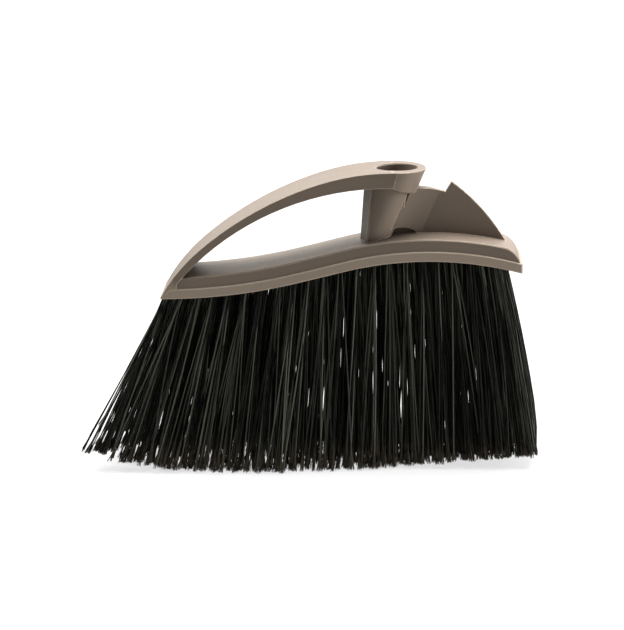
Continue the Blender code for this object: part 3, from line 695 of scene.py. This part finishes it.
def filament_tree(material, sizes, lows, highs):
    """Geometry nodes that grow filaments with split ends round each guide line."""
    tree = bpy.data.node_groups.new("tuft_filaments", "GeometryNodeTree")
    interface = tree.interface
    interface.new_socket(name="Geometry", in_out="INPUT", socket_type="NodeSocketGeometry")
    inputs = (
        ("Filaments", "NodeSocketInt", sizes.filaments),
        ("Fibres", "NodeSocketInt", sizes.fibres),
        ("Radius", "NodeSocketFloat", sizes.radius),
        ("Fibre Radius", "NodeSocketFloat", sizes.fibre_radius),
        ("Tuft Radius", "NodeSocketFloat", sizes.tuft_radius),
        ("Stray", "NodeSocketFloat", sizes.stray),
        ("Scallop", "NodeSocketFloat", sizes.scallop),
        ("Crossing", "NodeSocketFloat", sizes.crossing),
        ("Lowest", "NodeSocketVector", lows),
        ("Highest", "NodeSocketVector", highs),
        ("Seed", "NodeSocketInt", 1),
    )
    for name, kind, default in inputs:
        socket = interface.new_socket(name=name, in_out="INPUT", socket_type=kind)
        socket.default_value = default
    interface.new_socket(name="Geometry", in_out="OUTPUT", socket_type="NodeSocketGeometry")
    graph = Graph(tree)
    given = graph.add("NodeGroupInput")
    seed = given.of("Seed")

    def each(low, high, draw):
        """A random number that is the same all along one line. Each draw has its own number."""
        value = graph.add("FunctionNodeRandomValue", {"data_type": "FLOAT"}, {
            "Min": low, "Max": high, "Seed": seed * SEED_STRIDE + draw,
        })
        return graph.add("GeometryNodeFieldOnDomain", {"domain": "CURVE", "data_type": "FLOAT"}, {
            "Value": value,
        })

    def moved(lines, x, y, z):
        """Lines shifted by an offset, kept inside the box that the part fills."""
        here = graph.add("GeometryNodeInputPosition")
        place = graph.vector("ADD", here, graph.combine(x, y, z))
        place = graph.vector("MAXIMUM", place, given.of("Lowest"))
        place = graph.vector("MINIMUM", place, given.of("Highest"))
        return graph.add("GeometryNodeSetPosition", None, {"Geometry": lines, "Position": place})

    def skinned(lines, radius, sides):
        """Closed tubes along the lines."""
        ring = graph.add("GeometryNodeCurvePrimitiveCircle", None, {
            "Resolution": sides, "Radius": 1.0,
        })
        return graph.add("GeometryNodeCurveToMesh", None, {
            "Curve": lines, "Profile Curve": ring, "Scale": radius, "Fill Caps": True,
        })

    along = graph.add("GeometryNodeSplineParameter").of("Factor")
    room = graph.add("GeometryNodeInputNamedAttribute", {"data_type": "FLOAT_VECTOR"}, {
        "Name": "tip_room",
    })
    room = graph.add("ShaderNodeSeparateXYZ", None, {"Vector": room})
    guides = graph.add("GeometryNodeMeshToCurve", None, {"Mesh": given.of("Geometry")})
    lines = graph.add("GeometryNodeDuplicateElements", {"domain": "SPLINE"}, {
        "Geometry": guides, "Amount": given.of("Filaments") * room.of("Z"),
    })

    def disc(draw):
        """A random place inside a circle of radius 1, and its distance from the middle."""
        angle, reach = each(0.0, math.tau, draw), each(0.0, 1.0, draw + 1) ** 0.5
        return reach * angle.math("COSINE"), reach * angle.math("SINE"), reach

    root_x, root_y, _ = disc(1)
    tip_x, tip_y, reach = disc(14)
    root = given.of("Tuft Radius") * (1 - along)
    stray = given.of("Stray") * along**STRAY_POWER
    sway = (along * math.pi).math("SINE") * given.of("Stray")
    wide = each(-1.0, 1.0, 9) ** CROSSING_POWER * given.of("Crossing") * along
    x = root_x * root + tip_x * room.of("X") * along + each(-1.0, 1.0, 3) * stray + wide
    y = root_y * root + tip_y * room.of("Y") * along + each(-1.0, 1.0, 4) * stray
    x = x + each(-SWAY_SHARE, SWAY_SHARE, 5) * sway
    y = y + each(-SWAY_SHARE, SWAY_SHARE, 6) * sway
    rise = reach**2 * given.of("Scallop") + each(0.0, UNEVEN_TIP, 7)
    lines = moved(lines, x, y, rise * along)
    lines = graph.add("GeometryNodeStoreNamedAttribute", {"domain": "CURVE", "data_type": "FLOAT"}, {
        "Geometry": lines, "Name": "tone", "Value": each(0.0, 1.0, 8),
    })

    stems = graph.add("GeometryNodeTrimCurve", {"mode": "FACTOR"}, {
        "Curve": lines, "Start": 0.0, "End": STEM_END_SHARE,
    })
    thinning = 1 - along**STEM_TAPER_POWER * STEM_TAPER_SHARE
    stems = skinned(stems, given.of("Radius") * thinning, STEM_SIDES)
    ends = graph.add("GeometryNodeTrimCurve", {"mode": "FACTOR"}, {
        "Curve": lines, "Start": FIBRE_FROM_SHARE, "End": 1.0,
    })
    ends = graph.add("GeometryNodeResampleCurve", {"mode": "COUNT"}, {
        "Curve": ends, "Count": FIBRE_POINTS,
    })
    ends = graph.add("GeometryNodeDuplicateElements", {"domain": "SPLINE"}, {
        "Geometry": ends, "Amount": given.of("Fibres"),
    })
    fray = given.of("Radius") * (FRAY_START_SHARE + along**FRAY_POWER * FRAY_SPREAD_SHARE)
    lift = each(-FIBRE_DROP_SHARE, 1.0, 13) * along * FIBRE_RISE
    ends = moved(ends, each(-1.0, 1.0, 11) * fray, each(-1.0, 1.0, 12) * fray, lift)
    ends = skinned(ends, given.of("Fibre Radius") * (1 - along * FIBRE_TAPER_SHARE), FIBRE_SIDES)
    skin = graph.add("GeometryNodeJoinGeometry", None, {"Geometry": (stems, ends)})
    skin = graph.add("GeometryNodeSetShadeSmooth", None, {"Geometry": skin})
    skin = graph.add("GeometryNodeRealizeInstances", None, {"Geometry": skin})
    skin = graph.add("GeometryNodeSetMaterial", None, {"Geometry": skin, "Material": material})
    graph.add("NodeGroupOutput", None, {"Geometry": skin})
    return tree


def grown(name, verts, edges, spreads, tree, values):
    """A plain mesh object from guide lines, by a geometry tree and its named values."""
    guide = bpy.data.meshes.new(name + "_guide")
    guide.from_pydata(verts, edges, [])
    room = guide.attributes.new("tip_room", "FLOAT_VECTOR", "POINT")
    for item, spread in zip(room.data, spreads):
        item.vector = spread
    holder = new_object(name + "_guide", guide)
    step = holder.modifiers.new("filaments", "NODES")
    step.node_group = tree
    places = {s.name: s.identifier for s in tree.interface.items_tree if s.in_out == "INPUT"}
    for key, value in values.items():
        step[places[key]] = value
    depsgraph = bpy.context.evaluated_depsgraph_get()
    mesh = bpy.data.meshes.new_from_object(holder.evaluated_get(depsgraph), depsgraph=depsgraph)
    mesh.name = name
    bpy.data.objects.remove(holder)
    return new_object(name, mesh)


class BROOM_OT_moulding(bpy.types.Operator):
    """Dress the one-piece moulding in satin plastic"""

    bl_idname = "broom.moulding"
    bl_label = "Moulding"

    def execute(self, context):
        finish = moulding_finish(context.scene.broom_moulding)
        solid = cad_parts["head_moulding"].data
        solid.materials.clear()
        solid.materials.append(finish)
        dress(merged_copy("head_moulding", "moulded_head", finish), "moulding", "head_moulding")
        return {"FINISHED"}


class BROOM_OT_tuft_bed(bpy.types.Operator):
    """Close the block's underside with the plastic bed that the tufts are set in"""

    bl_idname = "broom.tuft_bed"
    bl_label = "Tuft bed"

    def execute(self, context):
        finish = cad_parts["head_moulding"].data.materials[0]
        rings = []
        for i in range(BED_STEPS + 1):
            x = BED_LEFT_X + (BED_RIGHT_X - BED_LEFT_X) * i / BED_STEPS
            low, high, half = underside(x), underside(x) + BED_DEPTH, BED_HALF_WIDTH
            rings.append([(x, -half, low), (x, half, low), (x, half, high), (x, -half, high)])
        dress(loft("tuft_bed", rings, finish), "moulding")
        return {"FINISHED"}


class BROOM_OT_bristles(bpy.types.Operator):
    """Grow the filaments of every column of tufts"""

    bl_idname = "broom.bristles"
    bl_label = "Bristles"

    def execute(self, context):
        sizes = context.scene.broom_bristles
        lows, highs = CAD_BOX
        inset = Vector(sizes.inset)
        tree = filament_tree(filament_finish(sizes), sizes, lows + inset, highs - inset)
        columns = tuft_columns()
        for number, column in enumerate(columns, 1):
            pitch = TUFT_PITCH if number < MAIN_TUFTS else END_TUFT_PITCH
            verts, edges, spreads = tuft_guides(column, pitch, sizes, lows, highs)
            fill = 1 + FAN_FILL_SHARE * left_share(column) ** FAN_FILL_POWER
            crossing = END_CROSSING_SHARE if number in (1, len(columns)) else 1
            values = {
                "Filaments": round(sizes.filaments * fill),
                "Crossing": sizes.crossing * crossing,
                "Seed": number,
            }
            tufts = grown(f"filaments_{number:02d}", verts, edges, spreads, tree, values)
            if not tufts.data.polygons:
                raise RuntimeError(f"column {number} grew no filaments")
            dress(tufts, "filament", f"bristle_slice_{number:02d}")
        return {"FINISHED"}


def set_table(settings):
    """The pale table that the broom head stands on."""
    table = bpy.data.meshes.new("studio_floor")
    reach = STUDIO_REACH
    corners = [(-reach, -reach, 0), (reach, -reach, 0), (reach, reach, 0), (-reach, reach, 0)]
    table.from_pydata(corners, [], [(0, 1, 2, 3)])
    new_object("studio_floor", table, floor_finish(settings.floor, settings.glow))


def set_wall(settings):
    """A white wall round the table, which the camera sees and the light passes through."""
    work = bmesh.new()
    bmesh.ops.create_circle(work, radius=STUDIO_REACH * WALL_SHARE, segments=WALL_SEGMENTS)
    raised = bmesh.ops.extrude_edge_only(work, edges=work.edges[:])["geom"]
    tops = [part for part in raised if isinstance(part, bmesh.types.BMVert)]
    bmesh.ops.translate(work, vec=(0.0, 0.0, STUDIO_REACH), verts=tops)
    mesh = bpy.data.meshes.new("studio_backdrop")
    work.to_mesh(mesh)
    work.free()
    wall = new_object("studio_backdrop", mesh, floor_finish(settings.floor, WALL_GLOW))
    wall.visible_diffuse = wall.visible_glossy = wall.visible_shadow = False


def set_lights(scene):
    """Faint even air, a wide bank overhead, and the lamps."""
    scene.world = bpy.data.worlds.new("studio_air")
    scene.world.use_nodes = True
    air = scene.world.node_tree.nodes["Background"]
    air.inputs["Color"].default_value = (*WHITE, 1.0)
    air.inputs["Strength"].default_value = AIR_STRENGTH
    sky = bpy.data.lights.new("overhead_bank", "SUN")
    sky.energy, sky.angle = SKY_POWER, SKY_ANGLE
    aimed("overhead_bank", sky, (0.0, 0.0, 0.0), SKY_LOOK)
    for lamp in LAMPS:
        light = bpy.data.lights.new(lamp.name, "AREA")
        light.shape, light.size, light.size_y = "RECTANGLE", lamp.width, lamp.height
        light.energy, light.color = lamp.power, lamp.colour
        aimed(lamp.name, light, lamp.place, Vector(lamp.aim) - Vector(lamp.place))


def set_camera(scene, settings):
    """The camera that took the photograph."""
    pitch, yaw = settings.pitch, settings.yaw
    look = Vector((
        math.sin(yaw) * math.cos(pitch), math.cos(yaw) * math.cos(pitch), -math.sin(pitch),
    ))
    camera = bpy.data.cameras.new("photo_camera")
    camera.lens, camera.sensor_width = settings.lens, SENSOR_WIDTH
    place = Vector(settings.target) - look * settings.distance
    scene.camera = aimed("photo_camera", camera, place, look)
    scene.view_settings.view_transform = "Standard"


class BROOM_OT_studio(bpy.types.Operator):
    """Set the table, the wall, the lights and the camera of the photograph"""

    bl_idname = "broom.studio"
    bl_label = "Studio"

    def execute(self, context):
        scene = context.scene
        set_table(scene.broom_studio)
        set_wall(scene.broom_studio)
        set_lights(scene)
        set_camera(scene, scene.broom_studio)
        return {"FINISHED"}


class BROOM_PT_panel(bpy.types.Panel):
    """Lists the pieces of the broom head in the sidebar"""

    bl_idname = "BROOM_PT_panel"
    bl_label = "Angle broom head"
    bl_space_type = "VIEW_3D"
    bl_region_type = "UI"
    bl_category = "Broom"

    def draw(self, context):
        for group in ("broom_moulding", "broom_bristles", "broom_studio"):
            settings = getattr(context.scene, group)
            box = self.layout.box()
            for name in settings.bl_rna.properties.keys():
                if name not in ("rna_type", "name"):
                    box.prop(settings, name)
        for piece in PIECES:
            self.layout.operator(piece.bl_idname)


GROUPS = {
    "broom_moulding": MouldingSettings,
    "broom_bristles": BristleSettings,
    "broom_studio": StudioSettings,
}
PIECES = (BROOM_OT_moulding, BROOM_OT_tuft_bed, BROOM_OT_bristles, BROOM_OT_studio)


def register():
    for group in GROUPS.values():
        bpy.utils.register_class(group)
    for piece in (*PIECES, BROOM_PT_panel):
        bpy.utils.register_class(piece)
    for name, group in GROUPS.items():
        setattr(bpy.types.Scene, name, bpy.props.PointerProperty(type=group))


def unregister():
    for name in GROUPS:
        delattr(bpy.types.Scene, name)
    for piece in (BROOM_PT_panel, *reversed(PIECES)):
        bpy.utils.unregister_class(piece)
    for group in GROUPS.values():
        bpy.utils.unregister_class(group)


def main():
    """Makes every piece and the studio."""
    register()
    bpy.ops.broom.moulding()
    bpy.ops.broom.tuft_bed()
    bpy.ops.broom.bristles()
    bpy.ops.broom.studio()


if __name__ == "__main__":
    main()
